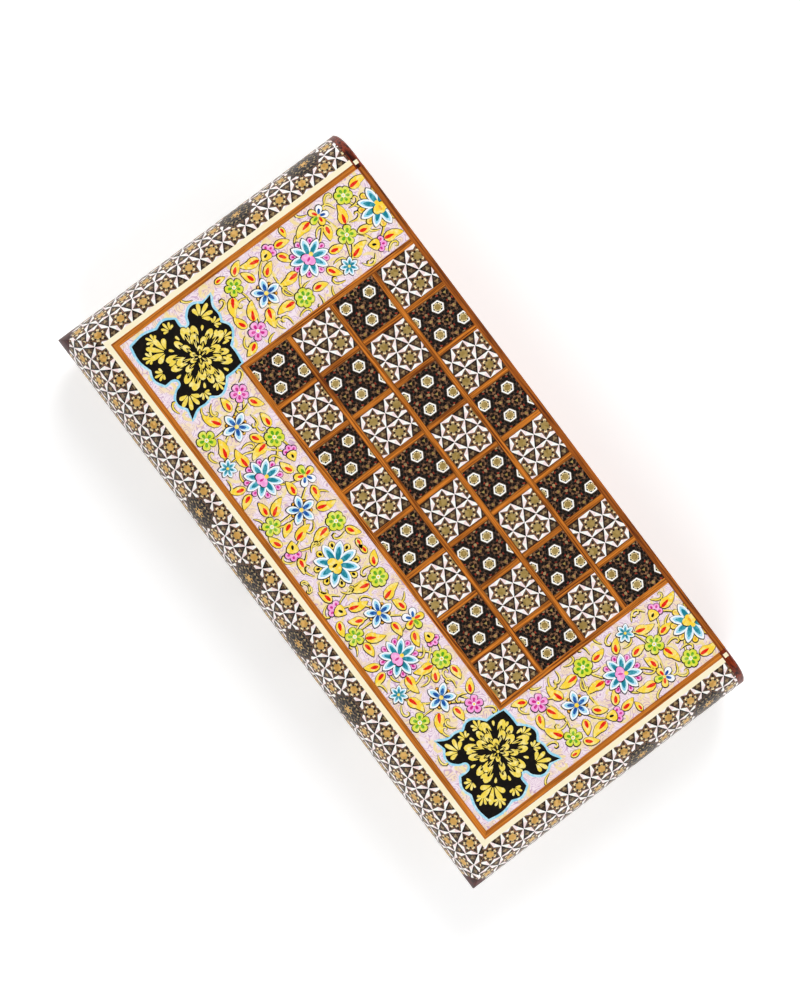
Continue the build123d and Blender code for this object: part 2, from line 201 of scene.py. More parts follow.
def lacquered_wood(
    name, pale, dark, streak, along="X", mitre=None, contrast=(0.4, 0.62), strips=None, coat=0.4
):
    """Straight-grained wood: streaks of the given width in mm run along X or Y. Where a mitre is
    given, they turn at the line where |x| + y is that many mm, as in a mitred frame. Strips are given
    by the middle of one, their pitch and their width, and their edges get painted shade, darker
    towards where they meet the squares."""
    material, tree, surface = lacquered(name, coat=coat)
    place = add(tree, "TexCoord").outputs["Object"]
    xyz = add(tree, "SeparateXYZ", {0: place})
    run, across = 1 / (GRAIN_RUN * MM), 1 / (streak * MM)
    scales = {"X": (run, across, across), "Y": (across, run, across)}
    grained = add(tree, "Mapping", {"Vector": place, "Scale": scales[along]}).outputs[0]
    if mitre is not None:
        turned = add(tree, "Mapping", {"Vector": place, "Scale": scales["Y"]}).outputs[0]
        side = add(tree, "Math", {0: xyz.outputs["X"]}, operation="ABSOLUTE")
        reach = add(tree, "Math", {0: side.outputs[0], 1: xyz.outputs["Y"]}, operation="ADD")
        on_end = add(tree, "Math", {0: reach.outputs[0], 1: mitre * MM}, operation="GREATER_THAN")
        either = add(tree, "Mix", {0: on_end.outputs[0], 4: grained, 5: turned}, data_type="VECTOR")
        grained = either.outputs[1]
    bands = add(tree, "TexNoise", {
        "Vector": grained, "Scale": 1.0, "Detail": 5.0, "Roughness": 0.62, "Distortion": 0.35,
    })
    tone = add(tree, "MapRange", {
        "Value": bands.outputs["Fac"], "From Min": contrast[0], "From Max": contrast[1],
    })
    colour = add(tree, "Mix", {0: tone.outputs[0], 6: linear(pale), 7: linear(dark)}, data_type="RGBA")
    pores = add(tree, "TexNoise", {"Vector": grained, "Scale": 4.0, "Detail": 2.0})
    flecks = add(tree, "MapRange", {
        "Value": pores.outputs["Fac"], "From Min": 0.58, "From Max": 0.7, "To Max": 0.55,
    })
    darker = add(tree, "Mix", {0: flecks.outputs[0], 6: colour.outputs[2], 7: linear(dark)}, data_type="RGBA")
    # Painted shade: each strip is darkened along both its edges, towards where it meets the squares.
    if strips is not None:
        middle, pitch, width = strips
        across_strip = xyz.outputs["Y" if along == "X" else "X"]
        start = add(tree, "Math", {0: across_strip, 1: middle * MM}, operation="SUBTRACT")
        off = add(tree, "Math", {0: start.outputs[0], 1: pitch / 2 * MM}, operation="PINGPONG")
        wander = add(tree, "Math", {0: pores.outputs["Fac"], 1: EDGE_SHADE_WANDER * MM}, operation="MULTIPLY")
        reach = add(tree, "Math", {0: off.outputs[0], 1: wander.outputs[0]}, operation="ADD")
        edge_shade = add(tree, "MapRange", {
            "Value": reach.outputs[0], "To Max": 0.9,
            "From Min": EDGE_SHADE_START * width * MM, "From Max": EDGE_SHADE_END * width * MM,
        })
        darker = add(tree, "Mix", {
            0: edge_shade.outputs[0], 6: darker.outputs[2], 7: linear(STRIP_EDGE_SHADE),
        }, data_type="RGBA")
    tree.links.new(darker.outputs[2], surface.inputs["Base Color"])
    return material


def box_mm(node):
    low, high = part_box(node)
    return low / MM, high / MM


def finish_nodes(material, *names):
    """Gives CAD nodes their finish. Their shape stays as loaded from model.glb."""
    for name in names:
        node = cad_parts[name]
        node.data.materials.clear()
        node.data.materials.append(material)


RAIL_WOOD = ("#B4621F", "#5A280E", 1.6)
rail_along = lacquered_wood("stained walnut rail, grain along X", *RAIL_WOOD)
rail_across = lacquered_wood("stained walnut rail, grain along Y", *RAIL_WOOD, "Y")
plywood = lacquered_wood("birch plywood panel", "#D9B98A", "#B98F5A", 3.0)
walnut_veneer = lacquered_wood("walnut veneer field", "#8E5A30", "#4A2A14", 3.2, "Y")
for half in HALVES:
    finish_nodes(rail_along, f"{half}_front_rail", f"{half}_hinge_rail")
    finish_nodes(rail_across, f"{half}_left_end_rail", f"{half}_right_end_rail")
    finish_nodes(plywood, f"{half}_panel")
    finish_nodes(walnut_veneer, f"{half}_playing_field")


# Rosewood trim
# The scalloped rails beside the points, the dark tips of the front corners and the caps over the
# sawn ends of the mouldings are rosewood, near black in places, with a warm red-brown in between.
ROSEWOOD = ("#8C3212", "#2A0804", 2.2)
rosewood_across = lacquered_wood("rosewood trim, grain along Y", *ROSEWOOD, "Y", coat=0.3)
rosewood_upright = lacquered_wood("rosewood cap, grain along X", *ROSEWOOD, coat=0.3)
dark_tip = lacquered_wood("near black rosewood tip", "#54120A", "#100202", 2.2, "Y", coat=0.1)
for half in HALVES:
    finish_nodes(rosewood_across, f"{half}_left_point_rail", f"{half}_right_point_rail")
    finish_nodes(dark_tip, f"{half}_corner_tips")
    finish_nodes(rosewood_upright, f"{half}_end_caps")


# Bandings and lattice
# A cream bone-like banding frames the face, then an orange-brown one of padauk. Strips of the same
# wood part the squares: long ones first, short ones let in between, with painted shade darkening
# their edges where they meet the squares.
CREAM_CLOUD = 14
bone_banding, tree, surface = lacquered("cream bone banding", 0.35)
cloud = add(tree, "TexNoise", {
    "Vector": add(tree, "TexCoord").outputs["Object"], "Scale": 1 / (CREAM_CLOUD * MM), "Detail": 3.0,
})
cream = add(tree, "Mix", {
    0: cloud.outputs["Fac"], 6: linear("#FFFAE2"), 7: linear("#FFEFC2"),
}, data_type="RGBA")
tree.links.new(cream.outputs[2], surface.inputs["Base Color"])

PADAUK = ("#DE842C", "#5E2608", 0.9)
LATTICE_PITCH = 38.0
grid_low, grid_high = box_mm("lid_lattice_edge_strips")
STRIP_WIDTH = grid_high.x - box_mm("lid_light_squares")[1].x
FRONT_STRIP, END_STRIP = grid_low.y + STRIP_WIDTH / 2, grid_high.x - STRIP_WIDTH / 2
along_strips = (FRONT_STRIP, LATTICE_PITCH, STRIP_WIDTH)
across_strips = (END_STRIP, LATTICE_PITCH, STRIP_WIDTH)
padauk_frame = lacquered_wood("padauk banding, mitred", *PADAUK, mitre=MITRE_AT_FACE, contrast=(0.36, 0.74))
padauk_edge = lacquered_wood("padauk lattice edge, mitred", *PADAUK, mitre=grid_high.x + grid_low.y)
# The strips' materials carry painted shade along their edges.
padauk_along = lacquered_wood("padauk strip, grain along X", *PADAUK, strips=along_strips)
padauk_across = lacquered_wood("padauk strip, grain along Y", *PADAUK, "Y", strips=across_strips)
for half in HALVES:
    finish_nodes(bone_banding, f"{half}_bone_banding", f"{half}_cap_pegs")
    finish_nodes(padauk_frame, f"{half}_wood_banding")
    finish_nodes(padauk_edge, f"{half}_lattice_edge_strips")
    finish_nodes(padauk_along, f"{half}_lattice_long_strips")
    finish_nodes(padauk_across, f"{half}_lattice_cross_strips")


# Marquetry chips
# The stars are thin slices of glued bundles of three-sided rods: camel bone, ebony, walnut, a golden
# jujube wood, and a few stained red. One list gives every star sheet its chips' woods.
CHIP_VARIATION = 2.4
CHIP_COLOURS = {
    "bone": ("#FFFFFC", "#FBF6EE"),
    "blush": ("#FFF3F0", "#F6DEDC"),
    "ivory": ("#FFF2C4", "#E9D29A"),
    "ebony": ("#050302", "#0E0907"),
    "charcoal": ("#3A342F", "#191513"),
    "walnut": ("#94694A", "#5E4430"),
    "umber": ("#664C38", "#32241A"),
    "olive": ("#AC9468", "#7C664A"),
    "jujube": ("#E0B468", "#C08E40"),
    "khaki": ("#B0965A", "#92783C"),
    "red": ("#B43626", "#6E1C14"),
}
CHIPS = list(CHIP_COLOURS)


def chip_material(name, pale, dark):
    """Sawn end grain under lacquer: each few mm of it comes from another rod, so its tone steps."""
    material, tree, surface = lacquered(name)
    cells = add(tree, "TexVoronoi", {
        "Vector": add(tree, "TexCoord").outputs["Object"], "Scale": 1 / (CHIP_VARIATION * MM),
    })
    tone = add(tree, "SeparateColor", {0: cells.outputs["Color"]})
    colour = add(tree, "Mix", {0: tone.outputs[0], 6: linear(pale), 7: linear(dark)}, data_type="RGBA")
    tree.links.new(colour.outputs[2], surface.inputs["Base Color"])
    return material


chip_materials = [chip_material(f"{kind} marquetry chips", *CHIP_COLOURS[kind]) for kind in CHIPS]

STAR_PITCH = 20.0
ROW_PITCH = STAR_PITCH * sqrt(3) / 2
CENTRE_NOTCH, CENTRE_TIP = 2.5, 3.1
DOT_REACH, DOT_TURN, DOT_TIP = 3.6, 14, 4.5
LINE_FOOT, BIT_FOOT, BIT_REACH, BIT_TURN = 4.0, 4.8, 5.0, 12
HEART_FOOT, HEART_REACH, HEART_TURN, HEART_TIP = 5.2, 5.7, 11, 7.9
POINT_DIP, WHITE_DIP, POINT_TIP, WHITE_TIP = 5.2, 5.6, 8.6, 9.2
GAP_INSIDE = 0.72
WELD = 0.002


def spot(radius, angle):
    """A place on the sheet, given from a star's middle."""
    return Vector((radius * cos(radians(angle)), radius * sin(radians(angle)), 0))


def ring_spots(radius, first, step):
    """Places all round a star's middle, so many degrees apart."""
    return [spot(radius, angle) for angle in range(first, first + 360, step)]


def chip(bm, kind, *corners):
    face = bm.faces.new([bm.verts.new(corner) for corner in corners])
    face.material_index = CHIPS.index(kind)


def everything(bm):
    return bm.verts[:] + bm.edges[:] + bm.faces[:]


def verts_of(parts):
    return [part for part in parts if isinstance(part, bmesh.types.BMVert)]


def copies(bm, geometry, moves):
    """Copies geometry once for each matrix."""
    for move in moves:
        made = bmesh.ops.duplicate(bm, geom=geometry)["geom"]
        bmesh.ops.transform(bm, matrix=move, verts=verts_of(made))


def half_point(bm, white):
    """A twelfth of a star: half of one point in its dark edge, with half a white kite beside it."""
    notch, side, dot_tip = spot(CENTRE_NOTCH, 30), spot(DOT_REACH, 30 - DOT_TURN), spot(DOT_TIP, 30)
    bit, bit_foot = spot(BIT_REACH, BIT_TURN), spot(BIT_FOOT, 0)
    heart_foot, heart_tip = spot(HEART_FOOT, 0), spot(HEART_TIP, 0)
    heart_side = spot(HEART_REACH, HEART_TURN)
    point_dip, point_tip = spot(POINT_DIP, 30), spot(POINT_TIP, 0)
    white_dip, white_tip, tip = spot(WHITE_DIP, 30), spot(WHITE_TIP, 0), spot(STAR_PITCH / 2, 0)
    gold_tip = spot(CENTRE_TIP, 0)
    chip(bm, "jujube", Vector(), gold_tip, notch)
    chip(bm, "ebony", notch, side, dot_tip)
    line_foot = spot(LINE_FOOT, 0)
    chip(bm, "olive", gold_tip, line_foot, side, notch)
    chip(bm, "ivory", line_foot, bit_foot, bit, side)
    chip(
        bm, "walnut",
        bit_foot, heart_foot, heart_side, heart_tip, point_tip, point_dip, dot_tip, side, bit
    )
    chip(bm, "charcoal", heart_foot, heart_tip, heart_side)
    chip(bm, "ebony", point_dip, point_tip, white_tip, white_dip)
    chip(bm, white, white_tip, tip, spot(ROW_PITCH / 2, 30), white_dip)


def gap(bm, middle, turn):
    """The triangle that three stars leave: an ebony edge, walnut corners and a golden middle."""
    size = STAR_PITCH / sqrt(12)
    outer = [middle + spot(size, turn + 120 * n) for n in range(3)]
    inner = [middle + spot(size * GAP_INSIDE, turn + 120 * n) for n in range(3)]
    outer_halves = [outer[n].lerp(outer[n - 2], 0.5) for n in range(3)]
    inner_halves = [inner[n].lerp(inner[n - 2], 0.5) for n in range(3)]
    for n in range(3):
        chip(bm, "ebony", outer[n], outer_halves[n], outer[n - 2], inner[n - 2], inner_halves[n], inner[n])
        chip(bm, "umber", inner[n], inner_halves[n], inner_halves[n - 1])
    chip(bm, "olive", *inner_halves)


def star_sheet(width, depth):
    """A flat sheet of touching six-pointed stars, at least width by depth, with a star in its
    middle. Rows run along X, and each is half a pitch on from the last."""
    bm = bmesh.new()
    half_point(bm, "blush")
    bmesh.ops.scale(bm, vec=(1, -1, 1), verts=bm.verts)
    bmesh.ops.reverse_faces(bm, faces=bm.faces)
    half_point(bm, "bone")
    copies(bm, everything(bm), [Matrix.Rotation(radians(60 * n), 4, "Z") for n in range(1, 6)])
    gap(bm, spot(STAR_PITCH / sqrt(3), -30), 90)
    gap(bm, spot(STAR_PITCH / sqrt(3), 30), -90)
    bmesh.ops.remove_doubles(bm, verts=bm.verts, dist=WELD)
    columns, rows = int(width / STAR_PITCH / 2) + 2, int(depth / ROW_PITCH / 2) + 2
    places = [
        (STAR_PITCH * (column + row % 2 / 2), ROW_PITCH * row)
        for row in range(-rows, rows + 1) for column in range(-columns, columns + 1)
    ]
    copies(bm, everything(bm), [Matrix.Translation((x, y, 0)) for x, y in places if (x, y) != (0, 0)])
    bmesh.ops.remove_doubles(bm, verts=bm.verts, dist=WELD)
    return bm


# Squares
# Half a chessboard is let into each outer face: sixteen light squares of stars and sixteen dark
# ones, sawn from larger sheets at four different places.
HEIGHT = cad_box[1][2] / MM
CRISP = radians(25)
SQUARES_ALONG, SQUARES_ACROSS, SQUARE = 8, 4, 33.5
SQUARE_STRETCH = Matrix.Diagonal((0.98, 1.04, 1, 1)) @ Matrix.Rotation(radians(90), 4, "Z")
SHEET_SHIFTS = (3.4, 13.6, 8.2, 18.9)
ROD = STAR_PITCH / 16
CENTRE_RODS, RING_RODS = 2, 4
DOT_TURNS = 12
DARK_FLECK_SIZE = 0.86
DARK_FLECKS = {
    "red": ring_spots(8.1, 0, 60),
    "olive": ring_spots(STAR_PITCH / 2, 0, 60),
    "walnut": ring_spots(8.3, 30, 60) + ring_spots(9.9, 18, 24),
    "khaki": ring_spots(STAR_PITCH / sqrt(3), 30, 60),
    "charcoal": ring_spots(6.3, 15, 30),
}


def cut(bm, place, outward):
    """Saws off what lies beyond a plane."""
    bmesh.ops.bisect_plane(
        bm, geom=everything(bm), dist=WELD, plane_co=place, plane_no=outward, clear_outer=True
    )


def backed(bm, thickness):
    """Gives a flat sheet its thickness: walls round its edge and one plain face below."""
    rim = [edge for edge in bm.edges if edge.is_boundary]
    walls = bmesh.ops.extrude_edge_only(bm, edges=rim)["geom"]
    bmesh.ops.translate(bm, vec=(0, 0, -thickness), verts=verts_of(walls))
    bmesh.ops.contextual_create(bm, geom=[edge for edge in bm.edges if edge.is_boundary])
    bmesh.ops.recalc_face_normals(bm, faces=bm.faces)


def turned_over(bm):
    """The other half's piece is the mirror image of this one, below the plane where they meet."""
    bmesh.ops.scale(bm, vec=(1, 1, -1), verts=bm.verts)
    bmesh.ops.translate(bm, vec=(0, 0, HEIGHT), verts=bm.verts)
    bmesh.ops.reverse_faces(bm, faces=bm.faces)


def fitted(bm, name, body, materials, slot, *nodes):
    """Makes the piece in metres, with its long edges crisp, puts it on its body and hides the CAD nodes that
    it takes the place of.
    """
    bmesh.ops.scale(bm, vec=(MM, MM, MM), verts=bm.verts)
    for face in bm.faces:
        face.smooth = True
    for edge in bm.edges:
        edge.smooth = edge.calc_face_angle(pi) < CRISP
    mesh = as_mesh(bm, name)
    for material in materials:
        mesh.materials.append(material)
    piece = bpy.data.objects.new(name, mesh)
    bpy.context.scene.collection.objects.link(piece)
    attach(piece, body)
    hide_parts(*nodes)
    return piece


def rod_sheet(steps):
    """A flat hexagon of three-sided rods round a star's middle, so many rods across each way."""
    bm = bmesh.new()
    bmesh.ops.create_circle(bm, cap_ends=True, cap_tris=True, segments=6, radius=ROD * steps)
    bmesh.ops.rotate(bm, cent=(0, 0, 0), matrix=Matrix.Rotation(radians(30), 3, "Z"), verts=bm.verts)
    bmesh.ops.subdivide_edges(bm, edges=bm.edges[:], cuts=steps - 1, use_grid_fill=True)
    return bm


def ring_of(place):
    """How many rods out a chip lies from a star's middle, and whether it points outwards."""
    reach = max(place.dot(spot(1, angle)) for angle in range(30, 390, 60)) / (ROD * sqrt(3) / 2)
    return int(reach) + 1, reach % 1 < 0.5


def nearest_star(place):
    """A place on the sheet, seen from the nearest star's middle."""
    rows = int(place.y // ROW_PITCH)
    stars = []
    for row in (rows, rows + 1):
        shift = row % 2 / 2
        column = round(place.x / STAR_PITCH - shift)
        stars.append(Vector((STAR_PITCH * (column + shift), ROW_PITCH * row, 0)))
    return place - min(stars, key=lambda star: (place - star).length)


def from_nearest(place, spots):
    return min((place - other).length for other in spots)


def dark_chip(place):
    """The wood of a chip in the dark squares: white-ringed stars on ebony, with red, golden and brown
    flecks round them."""
    ring, outward = ring_of(place)
    if ring <= CENTRE_RODS:
        return "khaki"
    off_corner = abs((degrees(atan2(place.y, place.x)) + 30) % 60 - 30)
    if ring < RING_RODS:
        return "ebony" if off_corner < DOT_TURNS else "ivory" if outward else "khaki"
    if ring == RING_RODS:
        return "bone"
    for kind, flecks in DARK_FLECKS.items():
        if from_nearest(place, flecks) < DARK_FLECK_SIZE:
            return kind
    return "umber" if outward and ring % 2 else "ebony"


def light_sheet():
    bm = star_sheet(2 * SQUARE, 2 * SQUARE)
    for face in bm.faces:
        if face.material_index == CHIPS.index("jujube"):
            face.material_index = CHIPS.index("khaki")
    return as_mesh(bm)


def dark_sheet(length, depth):
    """A dark sheet, sawn to its size, with a star in its middle."""
    bm = rod_sheet(int((length / 2 + depth / sqrt(12)) / ROD) + 1)
    for outward in ((0, 1, 0), (0, -1, 0)):
        cut(bm, Vector(outward) * depth / 2, outward)
    for outward in ((1, 0, 0), (-1, 0, 0)):
        cut(bm, Vector(outward) * length / 2, outward)
    for face in bm.faces:
        face.material_index = CHIPS.index(dark_chip(nearest_star(face.calc_center_median())))
    return as_mesh(bm)


sheets = {"light": light_sheet(), "dark": dark_sheet(2.2 * SQUARE, 1.7 * SQUARE)}


def squares(half, tone):
    """All squares of one tone in one half, made as the lid's."""
    low, high = box_mm(f"{half}_{tone}_squares")
    pitch = (high.x - low.x - SQUARE) / (SQUARES_ALONG - 1)
    bm = bmesh.new()
    for row in range(SQUARES_ACROSS):
        for column in range(SQUARES_ALONG):
            if ((row + column) % 2 == 0) != ((half == "lid") == (tone == "light")):
                continue
            square = bmesh.new()
            square.from_mesh(sheets[tone])
            bmesh.ops.transform(square, matrix=SQUARE_STRETCH, verts=square.verts)
            shift = SHEET_SHIFTS[(column + 3 * row) % len(SHEET_SHIFTS)]
            bmesh.ops.translate(square, vec=(ROW_PITCH / 2, shift, 0), verts=square.verts)
            for outward in ((1, 0, 0), (-1, 0, 0), (0, 1, 0), (0, -1, 0)):
                cut(square, Vector(outward) * SQUARE / 2, outward)
            backed(square, high.z - low.z)
            middle = (low.x + SQUARE / 2 + column * pitch, high.y - SQUARE / 2 - row * pitch, HEIGHT)
            bmesh.ops.translate(square, vec=middle, verts=square.verts)
            bm.from_mesh(as_mesh(square))
    return bm


for half in HALVES:
    for tone in ("light", "dark"):
        bm = squares(half, tone)
        if half == "base":
            turned_over(bm)
        node = f"{half}_{tone}_squares"
        fitted(bm, f"{half}_{tone}_star_squares", half, chip_materials, f"{tone}_marquetry", node)


# Star skins of the mouldings
# A two millimetre star sheet is bent over each quarter-round moulding while warm and glued down,
# then mitred. Hexagons of a darker pattern are let into its second row of stars, three stars apart.
SHOULDER_RADIUS = 19.0
BENDS = 14
PATCH_RODS = 12
FLECK_SIZE = 0.95
PATCH_FLECKS = {
    "jujube": ring_spots(3.3, 0, 60),
    "olive": ring_spots(5.4, 30, 60) + ring_spots(9.6, 10, 20),
    "umber": ring_spots(7.4, 0, 30) + ring_spots(12, 5, 15),
}
SKIN_ROWS = 17.0
SKIN_THICKNESS = 2.0
FRONT_STARS, FRONT_FIRST_ROW, FRONT_PATCHES = 19.7, 6.2, (-4.5, -1.5, 1.5, 4.5)
END_STARS, END_FIRST_ROW, END_PATCHES = 20.15, 7.2, (1.5, 4.5)
skin_low, skin_high = box_mm("lid_right_end_khatam")
front_low, front_high = box_mm("lid_front_khatam")
MOULDING_RUN, MOULDING_RISE = skin_high.x - skin_low.x, skin_high.z - skin_low.z
SHOULDER_RISE = MOULDING_RISE - SHOULDER_RADIUS
OVERHANG = MOULDING_RUN - SHOULDER_RADIUS
SIDE_INSET = (SHOULDER_RISE ** 2 - OVERHANG ** 2) / (2 * OVERHANG)
SIDE_RADIUS = SIDE_INSET + MOULDING_RUN
MEETING = atan2(SHOULDER_RISE, SIDE_INSET)
SHOULDER_REACH = SHOULDER_RADIUS * (pi / 2 - MEETING)
FULL_REACH = SHOULDER_REACH + SIDE_RADIUS * MEETING
TIP_REACH = 2 * (skin_high.x - front_high.x)


def bent(place):
    """Where a place on the flat sheet comes to lie on a moulding whose face edge is the X axis."""
    reach = -place.y
    if reach < SHOULDER_REACH:
        angle = pi / 2 - reach / SHOULDER_RADIUS
        out, up = SHOULDER_RADIUS * cos(angle), SHOULDER_RISE + SHOULDER_RADIUS * sin(angle)
    else:
        angle = MEETING - (reach - SHOULDER_REACH) / SIDE_RADIUS
        out, up = SIDE_RADIUS * cos(angle) - SIDE_INSET, SIDE_RADIUS * sin(angle)
    return Vector((place.x, -out, up))


def patch_chip(place):
    """The wood of a chip in a dark patch: a golden star on ebony, with light flecks round it."""
    ring, outward = ring_of(place)
    if ring <= CENTRE_RODS:
        return "jujube"
    for kind, flecks in PATCH_FLECKS.items():
        if from_nearest(place, flecks) < FLECK_SIZE:
            return kind
    return "walnut" if ring == PATCH_RODS and outward else "ebony"


def hexagonal_hole(bm, middle, apothem):
    """Cuts a hexagon out of a flat sheet."""
    sides = range(30, 390, 60)
    for angle in sides:
        near = [face for face in bm.faces if (face.calc_center_median() - middle).length < 2 * apothem]
        edges = {edge for face in near for edge in face.edges}
        verts = {vert for face in near for vert in face.verts}
        bmesh.ops.bisect_plane(
            bm, geom=near + list(edges) + list(verts), dist=WELD,
            plane_co=middle + spot(apothem, angle), plane_no=spot(1, angle)
        )
    inside = [
        face for face in bm.faces
        if all((face.calc_center_median() - middle).dot(spot(1, angle)) < apothem for angle in sides)
    ]
    bmesh.ops.delete(bm, geom=inside, context="FACES")


def star_skin(length, stars, first_row, patches):
    """A flat skin of that length with its dark patches, bent over the moulding, its ends still unsawn."""
    stretch = Matrix.Diagonal((stars / STAR_PITCH, SKIN_ROWS / ROW_PITCH, 1, 1))
    bm = star_sheet(length, 2 * FULL_REACH)
    for place in patches:
        middle = Vector((place * STAR_PITCH, -ROW_PITCH, 0))
        hexagonal_hole(bm, middle, PATCH_RODS * ROD * sqrt(3) / 2)
        patch = rod_sheet(PATCH_RODS)
        for face in patch.faces:
            face.material_index = CHIPS.index(patch_chip(face.calc_center_median()))
        bmesh.ops.translate(patch, vec=middle, verts=patch.verts)
        bm.from_mesh(as_mesh(patch))
    bmesh.ops.transform(bm, matrix=Matrix.Translation((0, -first_row, 0)) @ stretch, verts=bm.verts)
    cut(bm, (0, 0, 0), (0, 1, 0))
    cut(bm, (0, -FULL_REACH, 0), (0, -1, 0))
    cut(bm, (length / 2, 0, 0), (1, 0, 0))
    cut(bm, (-length / 2, 0, 0), (-1, 0, 0))
    for bend in range(1, BENDS):
        bmesh.ops.bisect_plane(
            bm, geom=everything(bm), dist=WELD,
            plane_co=(0, -FULL_REACH * bend / BENDS, 0), plane_no=(0, 1, 0)
        )
    for vert in bm.verts:
        vert.co = bent(vert.co)
    bm.normal_update()
    bmesh.ops.solidify(bm, geom=bm.faces[:], thickness=SKIN_THICKNESS)
    for vert in bm.verts:
        vert.co.y, vert.co.z = min(vert.co.y, 0), max(vert.co.z, 0)
    return bm


def sawn(bm, place, outward):
    """Cuts a closed skin by a plane and closes the cut."""
    cut(bm, place, outward)
    bmesh.ops.holes_fill(bm, edges=[edge for edge in bm.edges if edge.is_boundary], sides=0)


corner = Vector((skin_low.x, front_high.y, 0))
tip = Vector((skin_high.x - TIP_REACH, front_low.y, 0))
for half in HALVES:
    bm = star_skin(2 * skin_high.x, FRONT_STARS, FRONT_FIRST_ROW, FRONT_PATCHES)
    bmesh.ops.translate(bm, vec=(0, front_high.y, skin_low.z), verts=bm.verts)
    for side in (1, -1):
        sawn(bm, Vector((side * corner.x, corner.y, 0)), (side, 1, 0))
        sawn(bm, Vector((side * tip.x, tip.y, 0)), (side, -1, 0))
    if half == "base":
        turned_over(bm)
    fitted(bm, f"{half}_front_star_skin", half, chip_materials, "light_marquetry", f"{half}_front_khatam")
    for end, side in (("right", 1), ("left", -1)):
        patches = [side * place for place in END_PATCHES]
        bm = star_skin(2 * skin_high.x, END_STARS, END_FIRST_ROW, patches)
        bmesh.ops.rotate(bm, cent=(0, 0, 0), matrix=Matrix.Rotation(side * pi / 2, 3, "Z"), verts=bm.verts)
        bmesh.ops.translate(bm, vec=(side * skin_low.x, 0, skin_low.z), verts=bm.verts)
        sawn(bm, Vector((side * corner.x, corner.y, 0)), (-side, -1, 0))
        sawn(bm, Vector((side * tip.x, tip.y, 0)), (side, -1, 0))
        sawn(bm, (0, skin_high.y, 0), (0, 1, 0))
        if half == "base":
            turned_over(bm)
        node = f"{half}_{end}_end_khatam"
        fitted(bm, f"{half}_{end}_end_star_skin", half, chip_materials, "light_marquetry", node)


# Points of the playing field
# Inside, each half has twelve long points, six at either end and light and dark in turn. Each is a
# triangle of the star sheets, let flush into the walnut with a tip well short of the middle.
POINTS_PER_END = 6
POINT_LENGTH = 165.0
POINT_GAP = 4.0


def inlaid_points(half, tone):
    """All points of one tone in one half, made as the base's, which face up."""
    low, high = box_mm("base_light_points")
    field_low, field_high = box_mm("base_playing_field")
    pitch = (field_high.y - field_low.y) / POINTS_PER_END
    half_width = (pitch - POINT_GAP) / 2
    bm = bmesh.new()
    for side in (1, -1):
        for number in range(POINTS_PER_END):
            if (number + (side < 0) + (half == "lid") + (tone == "light")) % 2:
                continue
            point = bmesh.new()
            point.from_mesh(long_sheets[tone])
            shift = SHEET_SHIFTS[number % len(SHEET_SHIFTS)]
            bmesh.ops.translate(point, vec=(shift, 0, 0), verts=point.verts)
            cut(point, (POINT_LENGTH / 2, 0, 0), (1, 0, 0))
            for edge in (1, -1):
                outward = Vector((-half_width, edge * POINT_LENGTH, 0))
                cut(point, (-POINT_LENGTH / 2, 0, 0), outward)
            backed(point, high.z - low.z)
            turn = Matrix.Rotation(0 if side > 0 else pi, 3, "Z")
            bmesh.ops.rotate(point, cent=(0, 0, 0), matrix=turn, verts=point.verts)
            middle = (side * (high.x - POINT_LENGTH / 2), field_low.y + (number + 0.5) * pitch, high.z)
            bmesh.ops.translate(point, vec=middle, verts=point.verts)
            bm.from_mesh(as_mesh(point))
    return bm


longest = POINT_LENGTH + 2 * max(SHEET_SHIFTS)
long_sheets = {"light": as_mesh(star_sheet(longest, SQUARE)), "dark": dark_sheet(longest, SQUARE)}
for half in HALVES:
    for tone in ("light", "dark"):
        bm = inlaid_points(half, tone)
        if half == "lid":
            turned_over(bm)
        node = f"{half}_{tone}_points"
        fitted(bm, f"{half}_{tone}_star_points", half, chip_materials, f"{tone}_marquetry", node)


# Painted border
# Gouache on a pale pink ground, brushed on in thin layers and lacquered over: each mark has its dark
# outline, then its body colour, then its heart. The right half is painted and the left mirrors it.
PAINT_DEPTH = 0.2
LAYER = 0.02
STROKE_LIFT, LIFTS = 0.002, 8
OUTLINE = 0.5
STEM_WIDTH, TENDRIL_WIDTH = 1.2, 1.3
SCROLL_SIZE, SCROLL_LINES = 9.0, 9.0
CLOUD_SIZE = 8.0
WASH_SIZE = 2.6
PAINTS = (
    "ground", "straw", "ink", "yellow", "orange", "red", "lime", "leaf green", "white", "sky", "teal",
    "blue", "pink", "magenta", "gold",
)
PAINT_COLOURS = {
    "straw": ("#F6DFA2", "#FAEAC0"), "ink": ("#0C0806", "#1A120C"), "yellow": ("#FFD93C", "#FFF0A0"),
    "orange": ("#F2A62C", "#F8CE70"), "red": ("#E81E0E", "#F2583C"), "lime": ("#DDE23A", "#F2F08C"),
    "leaf green": ("#5CA61E", "#9CC850"), "white": ("#FFFFFF", "#F2F8FF"), "sky": ("#96D8F2", "#D2F0FA"),
    "teal": ("#178094", "#58B0C0"), "blue": ("#154E9E", "#4C88C8"), "pink": ("#FA9CDC", "#FFC8EC"),
    "magenta": ("#CC1A84", "#E45CAC"), "gold": ("#F6DA54", "#FFF0A0"),
}
border_low, border_high = box_mm("lid_painted_border")
GROUND = border_high.z - PAINT_DEPTH
strokes = count()


